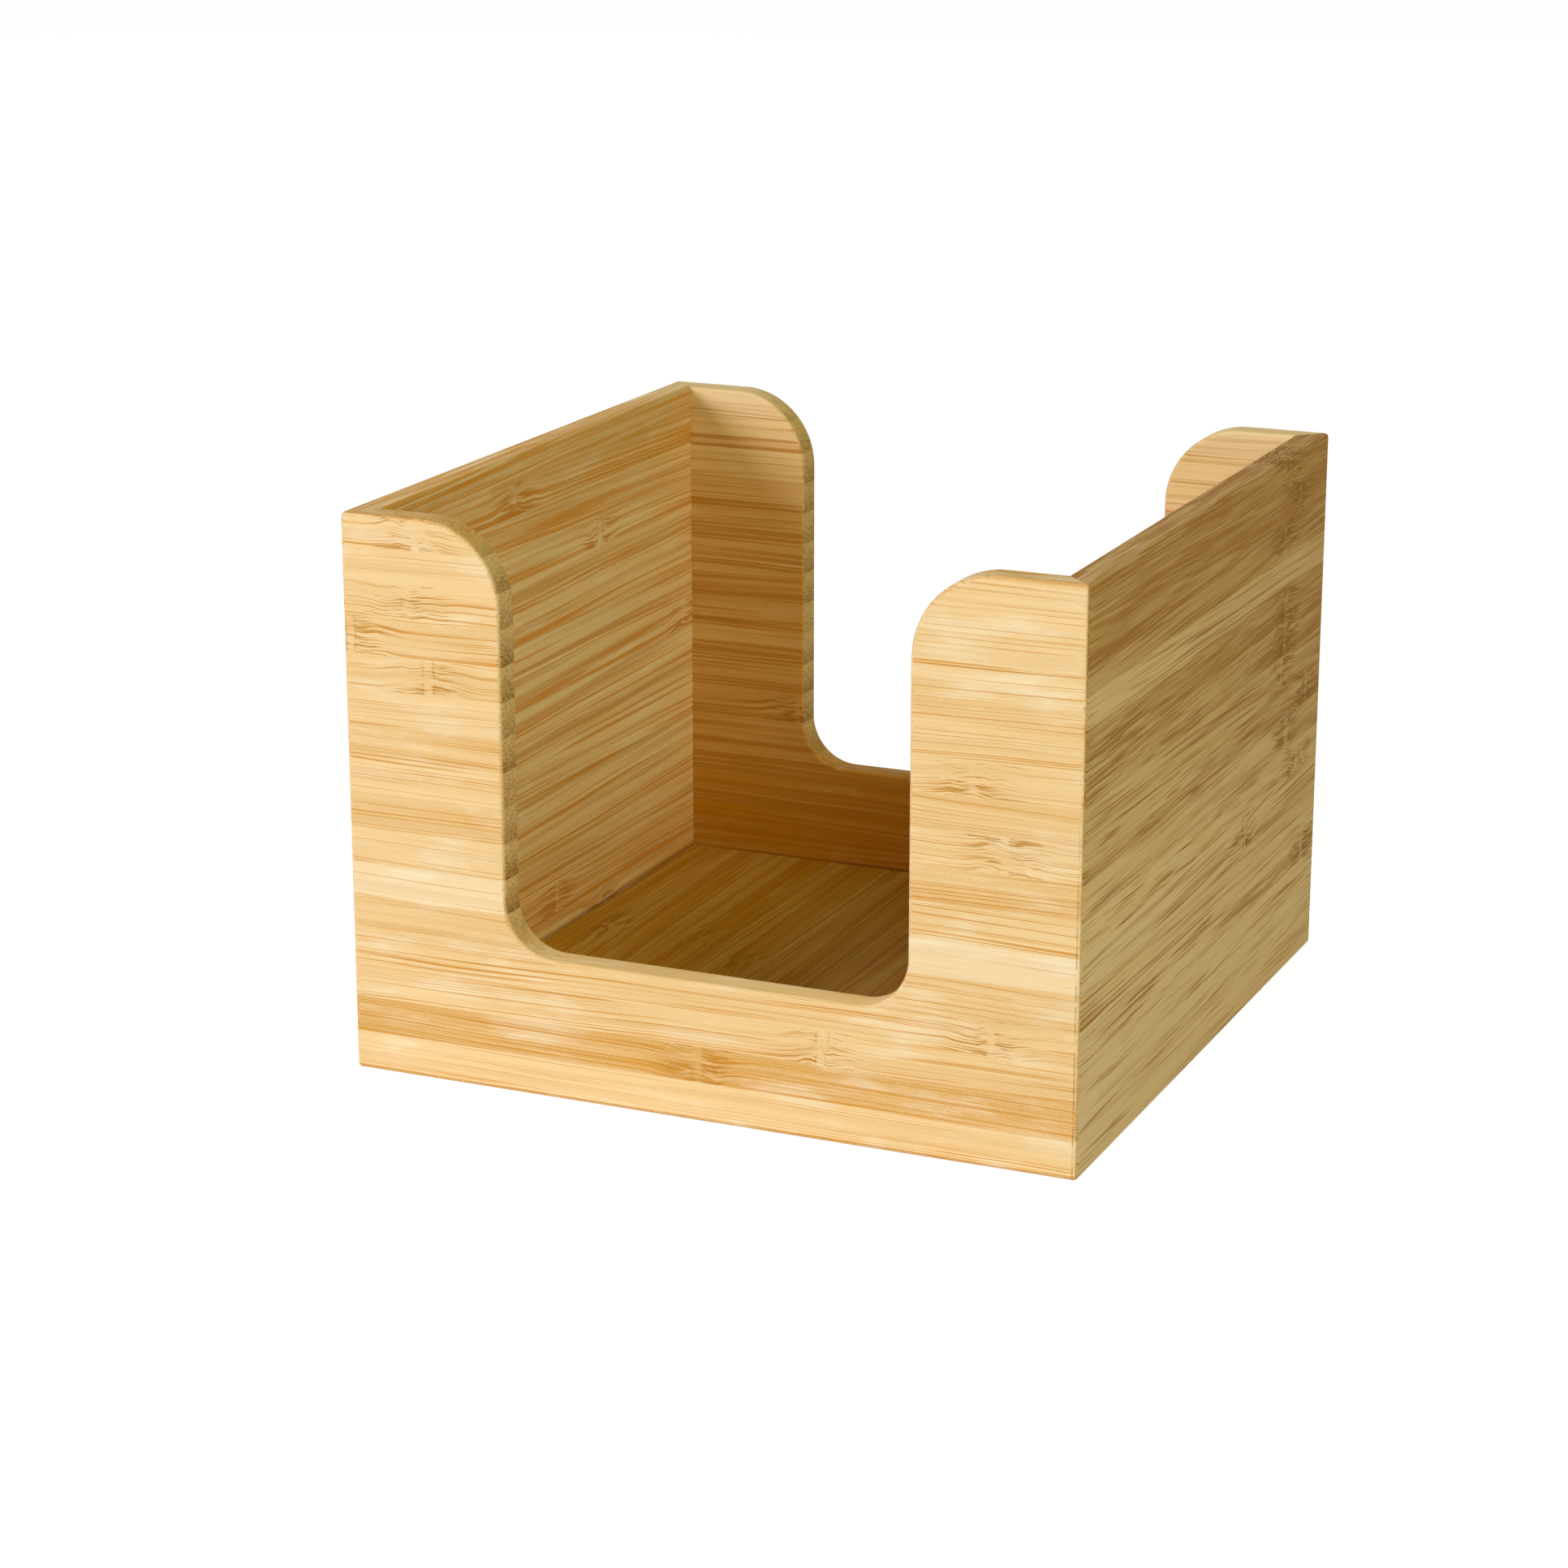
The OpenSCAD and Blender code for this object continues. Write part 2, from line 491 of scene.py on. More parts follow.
def glue_strips(piece, board, seams):
    """Divides a board's mesh along its glue lines, so that each strip has faces of its own."""
    line = Vector((0, 0, 0))
    line[board.stack] = 1
    bpy.ops.object.mode_set(mode="EDIT")
    for seam in seams[1:-1]:
        bpy.ops.mesh.select_all(action="SELECT")
        bpy.ops.mesh.bisect(plane_co=line * seam * MM, plane_no=line, threshold=SAW_MERGE)
    bpy.ops.object.mode_set(mode="OBJECT")


def mark_grain(piece, board, seams):
    """Stores how the bamboo lies: place along, across and into the strip, and each strip's own character.

    grain: mm along the strip, across the stack and into the board
    strip: 0 on the soft side of the strip to 1 on its skin side, a number of its own, the tone, which
    carries painted shade at a far end and painted shade and light on top faces
    knuckle: mm to the strip's growth ring, how far the fibres arch there in mm, the share of end grain
    scar: 1 where the ring shows its scar
    """
    mesh = piece.data
    draw = random.Random(board.seed + 1)
    strips = [(draw.uniform(*STRIP_NUMBERS), draw.choice((-1, 1)) * draw.uniform(*ARCH)) for _ in seams]
    grain, strip, knuckle, scar = [], [], [], []
    for face in mesh.polygons:
        number = bisect.bisect(seams, face.center[board.stack] / MM) - 1
        number = min(max(number, 0), len(seams) - 2)
        low, high = seams[number], seams[number + 1]
        if number == 0:
            low = high - board.pitch
        if number == len(seams) - 2:
            high = low + board.pitch
        ring = board.knuckles.get(number, NO_KNUCKLE)
        seed, arch = strips[number]
        # Sawn ends show in the cut-outs; a mitre's edge shows only a trace of them
        sawn = min(max((abs(face.normal[board.run]) - SAWN_FROM) / SAWN_OVER, 0.0), 1.0)
        if abs(face.center[board.run]) > MITRE_FROM:
            sawn *= MITRE_SAWN
        for corner in face.loop_indices:
            place = mesh.vertices[mesh.loops[corner].vertex_index].co / MM
            along, across = place[board.run], place[board.stack]
            side = (high - across) / (high - low)
            if number in board.turned:
                side = 1 - side
            grain += (along, across, place[board.depth])
            # On the right board the tone darkens towards the far end: painted shade
            tone = board.tones[number % len(board.tones)] + board.gain * along * MM / HOLDER_HIGH.x
            # Top faces of the upper edge are made darker or paler: painted shade and painted light
            if face.center.z > HOLDER_HIGH.z / 2:
                tone += board.rim * max(face.normal.z, 0.0)
            strip += (side, seed, tone)
            knuckle += (along - ring, arch, sawn)
            scar.append(float(number in board.scars))
    for name, values in (("grain", grain), ("strip", strip), ("knuckle", knuckle)):
        mesh.attributes.new(name, "FLOAT_VECTOR", "CORNER").data.foreach_set("vector", values)
    mesh.attributes.new("scar", "FLOAT", "CORNER").data.foreach_set("value", scar)


def finish_board(piece, board, material):
    """Gives a board its shading, material and place in the frame."""
    select_only(piece)
    bpy.ops.object.shade_smooth_by_angle(angle=SMOOTH_ANGLE)
    flat = piece.modifiers.new("flat", "WEIGHTED_NORMAL")
    flat.keep_sharp = True
    bpy.ops.object.modifier_apply(modifier=flat.name)
    piece.data.materials.clear()
    piece.data.materials.append(material)
    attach(piece, "root")
    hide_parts(board.node)


def add(tree, kind, inputs=(), **settings):
    """Adds a node with its settings, and fills its inputs, in order or by name, with values or links."""
    node = tree.nodes.new("ShaderNode" + kind)
    for name, value in settings.items():
        setattr(node, name, value)
    for socket, value in inputs.items() if isinstance(inputs, dict) else enumerate(inputs):
        if isinstance(value, bpy.types.Node):
            value = next(out for out in value.outputs if out.enabled)
        if isinstance(value, bpy.types.NodeSocket):
            tree.links.new(value, node.inputs[socket])
        else:
            node.inputs[socket].default_value = value
    return node


def blank_tree(owner):
    """Gives a material or a world an empty node tree."""
    owner.use_nodes = True
    owner.node_tree.nodes.clear()
    return owner.node_tree


def per_mm(sizes):
    """Scale of a pattern with these sizes in mm."""
    return [1 / size for size in sizes]


# Sockets of the Mix node for colours
FACTOR, UNDER, OVER = 0, 6, 7

# How a board's bamboo looks. length and width: of its fibre lines, in mm. fill: how many there are.
# edge: how softly they end. lean: how much they crowd to the skin side of a strip. crowd: how much they
# bunch. dark: their strength. deep: how near they come to dark brown. ring: how dark the growth rings
# are. soft, bloom and hair: strength of the soft streaks, of the pale bloom and of pale hair lines; bloom
# also sets the pale specks, which are painted sparkle of light. joint: how dark the joint
# with the floor is, painted shade with lacquer in it. mitre: how dark the glue line at the right end is.
# tint: share of red, green and blue that multiplies the colour; on the right wall and the floor it
# darkens them as painted shade. honey: which colour its darker strips have.
Figure = namedtuple(
    "Figure", "length width fill edge lean crowd dark deep ring soft bloom hair joint mitre tint honey",
)

FIGURES = {
    "front": Figure(
        length=90.0, width=0.2, fill=-0.045, edge=0.03, lean=0.06, crowd=0.3, dark=0.8, deep=0.1,
        ring=0.28, soft=0.2, bloom=0.5, hair=0.25, joint=0.4, mitre=0.4,
        tint=(1.0, 1.0, 1.0), honey="amber",
    ),
    # The right wall stands in shade: its darker tint and olive honey are painted shade
    "right": Figure(
        length=26.0, width=0.24, fill=0.0, edge=0.05, lean=0.06, crowd=0.4, dark=0.95, deep=0.65,
        ring=0.6, soft=0.2, bloom=0.1, hair=0.06, joint=0.4, mitre=0.0,
        tint=(0.85, 0.84, 0.86), honey="shade_olive",
    ),
    "left": Figure(
        length=80.0, width=0.5, fill=0.03, edge=0.12, lean=0.25, crowd=0.3, dark=0.8, deep=0.0,
        ring=0.2, soft=0.7, bloom=0.4, hair=0.3, joint=0.4, mitre=0.0,
        tint=(1.0, 1.0, 1.0), honey="amber",
    ),
    "back": Figure(
        length=70.0, width=0.5, fill=-0.03, edge=0.1, lean=0.25, crowd=0.3, dark=0.75, deep=0.35,
        ring=0.25, soft=0.5, bloom=0.15, hair=0.1, joint=0.35, mitre=0.0,
        tint=(0.96, 0.94, 0.86), honey="amber",
    ),
    # The floor lies in shade inside the box: its tint is painted shade
    "floor": Figure(
        length=70.0, width=0.6, fill=-0.06, edge=0.1, lean=0.2, crowd=0.3, dark=0.85, deep=0.35,
        ring=0.25, soft=0.6, bloom=0.15, hair=0.2, joint=0.0, mitre=0.0,
        tint=(0.77, 0.79, 0.55), honey="amber",
    ),
}

# Sizes of the bamboo's patterns along the strip, across it and into it, in mm
WANDER = (40, 8, 8)
WAVE = (5, 5, 5)
CROWD = (40, 2, 2)
STREAK = (110, 1.5, 1.5)
DRIFT = (50, 6, 6)
CLOUD = (18, 5, 5)
# Pale specks to a mm, painted sparkle of light on the sanded pores, which also set the fine bumps: dashes
# of 0.3 mm, coarser than real pores so that they show
PORES_AND_SPARKLE_PER_MM = (3.3, 6.0, 6.0)
# Fibre bundles show as dots this far apart on sawn ends, in mm
DOTS = 0.5
# Spacing of the fibres on the splines, twice, and their length, in mm
SPLINE_FIBRES = (0.5, 0.5, 40)

# Distances over which marks fade out, in mm, and the height over which a mitre's glue line does
STROKES_FADE = (2.0, 12.0)
GAP_FADE = (0.2, 1.2)
SCAR_FADE = (0.05, 0.35)
# The painted shade at the floor joint fades out over these distances
JOINT_SHADE_FADE = (0.1, 0.6)
GLUE_FADE = (0.06, 0.2)
GLUE_UP_TO = (45.0, 70.0)

# Levels of their noise between which marks come in
STREAK_LEVELS = (0.42, 0.7)
BLOOM_LEVELS = (0.48, 0.72)
HAIR_LEVELS = (0.48, 0.36)
SPARKLE_LEVELS = (0.56, 0.7)
BREAK_LEVELS = (0.3, 0.5)
FIBRE_LEVEL = 0.6
# What a strip's tone, a growth ring and the gap at it add to the noise of the fibres
TONE_FILL, RING_FILL, GAP_FILL = 0.1, 0.04, -0.1

# Fibres: steepest slope, mm of wander, least length as a share, and how a ring squeezes them together
FIBRE_SLOPE = 0.02
WANDER_BY = 1.2
SHORTEST = 0.6
SQUEEZE, SQUEEZE_BY = 6, 1.2
# Factors that set the noise and the fibres of one strip apart from the next
STRIP_STEP = (11.3, 7.9, 5.7)
LENGTH_STEP = 0.73
# A scar: mm between its two lines, mm that they wobble, and their strength
SCAR_WIDE, SCAR_WOBBLE, SCAR_DARK = 2.2, 1.2, 0.2
# Strength of the smudge about a ring, and range of the drift in a strip's tone
SMUDGE = 1.2
DRIFT_BY = 0.8
# Dots on sawn ends: core, edge on the soft and skin side, strength, and how the skin side darkens
DOT_CORE, DOT_EDGE, DOT_DARK = 0.1, (0.5, 0.8), 0.7
SKIN_FROM, SKIN_DARK = 0.2, 0.55
# Roughness of the lacquer on plain and on dark places
SATIN = (0.5, 0.62)


def bamboo(name, colours, figure):
    """Side-pressed bamboo, sanded and lacquered satin.

    The eye sees strips of slightly different straw and honey, each with brown fibre lines along it,
    crowded towards the skin side of the cane. At a growth ring the lines arch, break into short dark
    strokes and leave a pale gap, and some rings show the two fine lines of their scar. Sawn ends show
    the fibres as dots.
    """
    line = Vector(colours.line).lerp(Vector(colours.fibre), figure.deep)
    material = bpy.data.materials.new(name)
    tree = blank_tree(material)

    grain = add(tree, "Attribute", attribute_name="grain").outputs["Vector"]
    strip = add(tree, "Attribute", attribute_name="strip").outputs["Vector"]
    knuckle = add(tree, "Attribute", attribute_name="knuckle").outputs["Vector"]
    scarred = add(tree, "Attribute", attribute_name="scar").outputs["Fac"]
    along, across, depth = add(tree, "SeparateXYZ", (grain,)).outputs
    side, seed, tone = add(tree, "SeparateXYZ", (strip,)).outputs
    from_ring, arch, end_share = add(tree, "SeparateXYZ", (knuckle,)).outputs

    # Each strip reads its own part of the noise
    shift = add(tree, "CombineXYZ", (seed, seed, seed))
    shift = add(tree, "VectorMath", (shift, STRIP_STEP), operation="MULTIPLY")

    # Nearness to the growth ring: the strokes reach some 10 mm each side, the pale gap about 1 mm
    away = add(tree, "Math", (from_ring,), operation="ABSOLUTE")
    near = add(tree, "MapRange", (away, *STROKES_FADE, 1.0, 0.0), interpolation_type="SMOOTHSTEP")
    gap = add(tree, "MapRange", (away, *GAP_FADE, 1.0, 0.0), interpolation_type="SMOOTHSTEP")

    # Fibres lie about a degree off the strip, wander a little, wave near the ring and arch over it
    lean = add(tree, "Math", (seed,), operation="SINE")
    lean = add(tree, "Math", (lean, FIBRE_SLOPE), operation="MULTIPLY")
    slope = add(tree, "Math", (along, lean), operation="MULTIPLY")
    slow = add(tree, "VectorMath", (grain, per_mm(WANDER), shift), operation="MULTIPLY_ADD")
    wander = add(tree, "TexNoise", {"Vector": slow, "Scale": 1.0, "Detail": 1.0})
    wander = add(tree, "Math", (wander.outputs[0], WANDER_BY, slope), operation="MULTIPLY_ADD")
    quick = add(tree, "VectorMath", (grain, per_mm(WAVE), shift), operation="MULTIPLY_ADD")
    wave = add(tree, "TexNoise", {"Vector": quick, "Scale": 1.0, "Detail": 1.0})
    wave = add(tree, "Math", (wave.outputs[0], 2.0, -1.0), operation="MULTIPLY_ADD")
    bend = add(tree, "Math", (wave, arch), operation="ADD")
    moved = add(tree, "Math", (bend, near, wander), operation="MULTIPLY_ADD")
    laid = add(tree, "Math", (across, moved), operation="ADD")

    # Fibre lines differ in length from strip to strip, and shorten to some 5 mm at the ring
    own = add(tree, "Math", (seed, LENGTH_STEP), operation="MULTIPLY")
    own = add(tree, "Math", (own,), operation="FRACT")
    reach = add(tree, "Math", (own, figure.length, SHORTEST * figure.length), operation="MULTIPLY_ADD")
    run = add(tree, "Math", (from_ring, reach), operation="DIVIDE")
    squeeze = add(tree, "Math", (from_ring, 1 / SQUEEZE), operation="MULTIPLY")
    squeeze = add(tree, "Math", (squeeze,), operation="TANH")
    run = add(tree, "Math", (squeeze, SQUEEZE_BY, run), operation="MULTIPLY_ADD")
    threads = add(tree, "CombineXYZ", (run, laid, depth))
    threads = add(
        tree, "VectorMath", (threads, per_mm((1, figure.width, figure.width)), shift),
        operation="MULTIPLY_ADD",
    )
    thread = add(tree, "TexNoise", {"Vector": threads, "Scale": 1.0, "Detail": 1.5, "Roughness": 0.5})

    # They bunch in patches some 40 mm long and 2 mm wide, towards the skin side, and at the ring
    patch = add(tree, "VectorMath", (grain, per_mm(CROWD), shift), operation="MULTIPLY_ADD")
    crowd = add(tree, "TexNoise", {"Vector": patch, "Scale": 1.0, "Detail": 1.0})
    field = add(
        tree, "Math", (crowd.outputs[0], figure.crowd, figure.fill - 0.5 * figure.crowd),
        operation="MULTIPLY_ADD",
    )
    field = add(tree, "Math", (field, thread.outputs[0]), operation="ADD")
    skinward = add(tree, "MapRange", (side, 0.0, 1.0, -0.5 * figure.lean, 0.5 * figure.lean))
    field = add(tree, "Math", (field, skinward), operation="ADD")
    # Darker strips hold more of them
    shade = add(tree, "Clamp", {"Value": tone, "Min": -0.5, "Max": 1.0})
    field = add(tree, "Math", (shade, TONE_FILL, field), operation="MULTIPLY_ADD")
    field = add(tree, "Math", (near, RING_FILL, field), operation="MULTIPLY_ADD")
    field = add(tree, "Math", (gap, GAP_FILL, field), operation="MULTIPLY_ADD")
    fibre = add(
        tree, "MapRange", (field, FIBRE_LEVEL - figure.edge, FIBRE_LEVEL + figure.edge),
        interpolation_type="SMOOTHSTEP",
    )

    # Long soft streaks a mm or two wide, and a brown smudge about the ring
    thin = add(tree, "CombineXYZ", (along, laid, depth))
    lines = add(tree, "VectorMath", (thin, per_mm(STREAK), shift), operation="MULTIPLY_ADD")
    streak = add(tree, "TexNoise", {"Vector": lines, "Scale": 1.0, "Detail": 3.0, "Roughness": 0.6})
    streaks = add(
        tree, "MapRange", (streak.outputs[0], *STREAK_LEVELS, 0.0, figure.soft),
        interpolation_type="SMOOTHSTEP",
    )
    smudge = add(tree, "Math", (near, crowd.outputs[0]), operation="MULTIPLY")
    stain = add(
        tree, "Math", (smudge, SMUDGE * figure.ring ** 2, streaks), operation="MULTIPLY_ADD",
        use_clamp=True,
    )

    # A strip's tone drifts along its length; a pale bloom lies here and there, and in hair lines
    drift = add(tree, "VectorMath", (grain, per_mm(DRIFT), shift), operation="MULTIPLY_ADD")
    drift = add(tree, "TexNoise", {"Vector": drift, "Scale": 1.0, "Detail": 2.0})
    drift = add(tree, "Math", (drift.outputs[0], DRIFT_BY, -DRIFT_BY / 2), operation="MULTIPLY_ADD")
    drift = add(tree, "Math", (drift, tone), operation="ADD")
    drift = add(tree, "Math", (drift, 0.0), operation="MAXIMUM")
    cloud = add(tree, "VectorMath", (grain, per_mm(CLOUD)), operation="MULTIPLY")
    cloud = add(tree, "TexNoise", {"Vector": cloud, "Scale": 1.0, "Detail": 3.0, "Roughness": 0.6})
    bloom = add(
        tree, "MapRange", (cloud.outputs[0], *BLOOM_LEVELS, 0.0, figure.bloom),
        interpolation_type="SMOOTHSTEP",
    )
    hair = add(tree, "MapRange", (thread.outputs[0], *HAIR_LEVELS, 0.0, figure.hair))
    bloom = add(tree, "Math", (hair, bloom), operation="ADD")
    # A tone below 0 is a strip that has more bloom all over
    chalk = add(tree, "MapRange", (tone, 0.0, -1.0, 0.0, 1.0))
    chalk = add(tree, "Math", (chalk, streak.outputs[0]), operation="MULTIPLY")
    bloom = add(tree, "Math", (bloom, chalk), operation="ADD")
    # Pale specks on the sanded pores: painted sparkle of light
    grit = add(tree, "VectorMath", (grain, PORES_AND_SPARKLE_PER_MM), operation="MULTIPLY")
    grit = add(tree, "TexNoise", {"Vector": grit, "Scale": 1.0, "Detail": 1.0})
    speck = add(tree, "MapRange", (grit.outputs[0], *SPARKLE_LEVELS, 0.0, figure.bloom))
    bloom = add(tree, "Math", (bloom, speck), operation="ADD", use_clamp=True)

    # A ring's scar: two fine broken lines across the strip
    wobble = add(tree, "Math", (wave, SCAR_WOBBLE, from_ring), operation="MULTIPLY_ADD")
    wobble = add(tree, "Math", (wobble,), operation="ABSOLUTE")
    scar = add(tree, "Math", (wobble, SCAR_WIDE / 2), operation="SUBTRACT")
    scar = add(tree, "Math", (scar,), operation="ABSOLUTE")
    scar = add(tree, "MapRange", (scar, *SCAR_FADE, 1.0, 0.0), interpolation_type="SMOOTHSTEP")
    broken = add(tree, "MapRange", (crowd.outputs[0], *BREAK_LEVELS))
    scar = add(tree, "Math", (scar, broken), operation="MULTIPLY")
    scar = add(tree, "Math", (scar, scarred), operation="MULTIPLY")

    # Sawn ends: dots, packed closer and darker towards the skin side
    places = add(tree, "CombineXYZ", (run, across, depth))
    places = add(tree, "VectorMath", (places, per_mm((1, DOTS, DOTS)), shift), operation="MULTIPLY_ADD")
    bundle = add(tree, "TexVoronoi", {"Vector": places, "Scale": 1.0}, feature="F1")
    rim = add(tree, "MapRange", (side, 0.0, 1.0, *DOT_EDGE))
    dot = add(tree, "MapRange", (bundle.outputs["Distance"], DOT_CORE, rim, 1.0, 0.0))
    packed = add(tree, "MapRange", (side, SKIN_FROM, 1.0, 0.0, SKIN_DARK))
    packed = add(tree, "Math", (packed, own), operation="MULTIPLY")
    dot = add(tree, "Math", (dot, DOT_DARK, packed), operation="MULTIPLY_ADD")
    dot = add(tree, "Math", (dot, end_share), operation="MULTIPLY")

    colour = add(
        tree, "Mix",
        {FACTOR: drift, UNDER: (*colours.pale, 1), OVER: (*getattr(colours, figure.honey), 1)},
        data_type="RGBA", clamp_factor=False,
    )
    bloomed = add(
        tree, "Mix", {FACTOR: bloom, UNDER: colour, OVER: (*colours.bloom, 1)}, data_type="RGBA",
    )
    streaked = add(
        tree, "Mix", {FACTOR: stain, UNDER: bloomed, OVER: (*colours.skin, 1)}, data_type="RGBA",
    )
    inked = add(tree, "Math", (fibre, figure.dark), operation="MULTIPLY")
    lined = add(tree, "Mix", {FACTOR: inked, UNDER: streaked, OVER: (*line, 1)}, data_type="RGBA")
    sawn = add(
        tree, "Mix", {FACTOR: end_share, UNDER: lined, OVER: (*colours.end_grain, 1)}, data_type="RGBA",
    )
    # Painted shade along the joint of the walls' inner faces with the floor, where lacquer also gathers
    # dark
    level = add(tree, "Math", (across, FLOOR_HIGH.z / MM), operation="SUBTRACT")
    level = add(tree, "Math", (level,), operation="ABSOLUTE")
    joint = add(tree, "MapRange", (level, *JOINT_SHADE_FADE, figure.joint, 0.0))
    inward = add(tree, "Math", (depth,), operation="ABSOLUTE")
    inward = add(tree, "Math", (inward, INNER_FACE / MM), operation="LESS_THAN")
    joint = add(tree, "Math", (joint, inward), operation="MULTIPLY")
    joint = add(tree, "Math", (joint, broken), operation="MULTIPLY")
    # The glue line of a mitre, where sanding has cut past it
    glue = add(tree, "Math", (along, MITRE_LINE / MM), operation="SUBTRACT")
    glue = add(tree, "Math", (glue,), operation="ABSOLUTE")
    glue = add(tree, "MapRange", (glue, *GLUE_FADE, figure.mitre, 0.0))
    glue = add(tree, "Math", (glue, broken), operation="MULTIPLY")
    low = add(tree, "MapRange", (across, *GLUE_UP_TO, 1.0, 0.0))
    glue = add(tree, "Math", (glue, low), operation="MULTIPLY")
    joint = add(tree, "Math", (joint, glue), operation="MAXIMUM")
    # Dark brown: strokes at the ring, its scar and the dots of sawn ends
    stroke = add(tree, "Math", (near, fibre), operation="MULTIPLY")
    stroke = add(tree, "Math", (stroke, figure.ring), operation="MULTIPLY")
    stroke = add(tree, "Math", (scar, SCAR_DARK, stroke), operation="MULTIPLY_ADD")
    darkness = add(tree, "Math", (dot, stroke), operation="ADD", use_clamp=True)
    figured = add(
        tree, "Mix", {FACTOR: darkness, UNDER: sawn, OVER: (*colours.fibre, 1)}, data_type="RGBA",
    )
    figured = add(
        tree, "Mix", {FACTOR: joint, UNDER: figured, OVER: (*colours.joint, 1)}, data_type="RGBA",
    )
    lacquered = add(
        tree, "Mix", {FACTOR: 1.0, UNDER: figured, OVER: (*figure.tint, 1)}, data_type="RGBA",
        blend_type="MULTIPLY",
    )

    height = add(tree, "Math", (fibre, -1.0, grit.outputs[0]), operation="MULTIPLY_ADD")
    bump = add(tree, "Bump", {"Strength": 0.3, "Distance": 0.01 * MM, "Height": height})
    rough = add(tree, "MapRange", (darkness, 0.0, 1.0, *SATIN))
    surface = add(
        tree, "BsdfPrincipled",
        {
            "Base Color": lacquered, "Roughness": rough, "Normal": bump,
            "IOR": 1.5, "Specular IOR Level": 0.03,
        },
    )
    add(tree, "OutputMaterial", {"Surface": surface})
    return material


class HOLDER_OT_walls(bpy.types.Operator):
    """Models the four mitred wall boards"""

    bl_idname = "holder.walls"
    bl_label = "Model Wall Boards"
    bl_options = {"REGISTER", "UNDO"}

    def execute(self, context):
        sizes = context.scene.holder_sizes
        colours = context.scene.holder_colours
        ring = model_ring(sizes)
        corner_w, corner_d, top = HOLDER_HIGH
        outward = {"front": (0, -1), "right": (1, 0), "back": (0, 1), "left": (-1, 0)}
        for board, side in ((FRONT, "front"), (RIGHT, "right"), (BACK, "back"), (LEFT, "left")):
            select_only(ring)
            bpy.ops.object.duplicate()
            piece = context.object
            piece.name = f"{side}_board"
            out = Vector((*outward[side], 0))
            bpy.ops.object.mode_set(mode="EDIT")
            for turn in (-1, 1):
                end = Vector((-out.y, out.x, 0)) * turn
                corner = Vector(((out.x + end.x) * corner_w, (out.y + end.y) * corner_d, 0))
                saw_mitre(piece, corner, (end - out).normalized(), sizes)
            bpy.ops.object.mode_set(mode="OBJECT")
            cut_away(piece, model_slots(sizes))
            seams = seams_of(board, 0, top / MM)
            glue_strips(piece, board, seams)
            mark_grain(piece, board, seams)
            material = bamboo(f"lacquered_bamboo_{side}", colours, FIGURES[side])
            finish_board(piece, board, material)
        bpy.data.objects.remove(ring)
        return {"FINISHED"}


class HOLDER_OT_floor(bpy.types.Operator):
    """Models the floor board with the tongue that lies in the walls' grooves"""

    bl_idname = "holder.floor_board"
    bl_label = "Model Floor Board"
    bl_options = {"REGISTER", "UNDO"}

    def execute(self, context):
        sizes = context.scene.holder_sizes
        inset = BOARD_T + sizes.base_gap
        low = Vector((HOLDER_LOW.x + inset, HOLDER_LOW.y + inset, FLOOR_LOW.z))
        high = Vector((HOLDER_HIGH.x - inset, HOLDER_HIGH.y - inset, FLOOR_HIGH.z))
        piece = start_block("floor_board", low, high)
        middle = (low.z + high.z) / 2
        bpy.ops.object.mode_set(mode="EDIT")
        for edge_z in (middle - sizes.tongue_t / 2, middle + sizes.tongue_t / 2):
            bpy.ops.mesh.select_all(action="SELECT")
            bpy.ops.mesh.bisect(plane_co=(0, 0, edge_z), plane_no=(0, 0, 1))
        pick(
            piece, "FACE",
            lambda face: abs(face.normal.z) < UPRIGHT and abs(face.calc_center_median().z - middle) < TOUCH,
        )
        bpy.ops.mesh.extrude_region_shrink_fatten(
            TRANSFORM_OT_shrink_fatten={"value": FLOOR_HIGH.x - high.x, "use_even_offset": True},
        )
        pick(
            piece, "EDGE",
            lambda edge: runs(edge, "x", y=high.y, z=high.z) or runs(edge, "y", x=high.x, z=high.z),
        )
        ease(sizes.floor_r, ARRIS_FLATS)
        bpy.ops.object.mode_set(mode="OBJECT")
        seams = seams_of(FLOOR, FLOOR_LOW.x / MM, FLOOR_HIGH.x / MM)
        glue_strips(piece, FLOOR, seams)
        mark_grain(piece, FLOOR, seams)
        material = bamboo("lacquered_bamboo_floor", context.scene.holder_colours, FIGURES["floor"])
        finish_board(piece, FLOOR, material)
        return {"FINISHED"}


class HOLDER_OT_splines(bpy.types.Operator):
    """Gives the hidden corner splines their sawn bamboo"""

    bl_idname = "holder.splines"
    bl_label = "Finish Corner Splines"
    bl_options = {"REGISTER", "UNDO"}

    def execute(self, context):
        colours = context.scene.holder_colours
        # Sawn bamboo, unlacquered: straight fibres up the spline, a matt and slightly rough face
        material = bpy.data.materials.new("sawn_bamboo")
        tree = blank_tree(material)
        place = add(tree, "TexCoord")
        lines = add(
            tree, "Mapping",
            {"Vector": place.outputs["Object"], "Scale": [1 / (size * MM) for size in SPLINE_FIBRES]},
        )
        fibres = add(tree, "TexNoise", {"Vector": lines, "Scale": 1.0, "Detail": 3.0})
        colour = add(
            tree, "Mix", {FACTOR: fibres.outputs[0], UNDER: (*colours.pale, 1), OVER: (*colours.skin, 1)},
            data_type="RGBA",
        )
        bump = add(tree, "Bump", {"Strength": 0.5, "Distance": 0.1 * MM, "Height": fibres.outputs[0]})
        surface = add(tree, "BsdfPrincipled", {"Base Color": colour, "Roughness": 0.8, "Normal": bump})
        add(tree, "OutputMaterial", {"Surface": surface})
        for corner in ("front_left", "front_right", "back_left", "back_right"):
            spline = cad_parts[f"{corner}_spline"]
            spline.data.materials.clear()
            spline.data.materials.append(material)
        return {"FINISHED"}


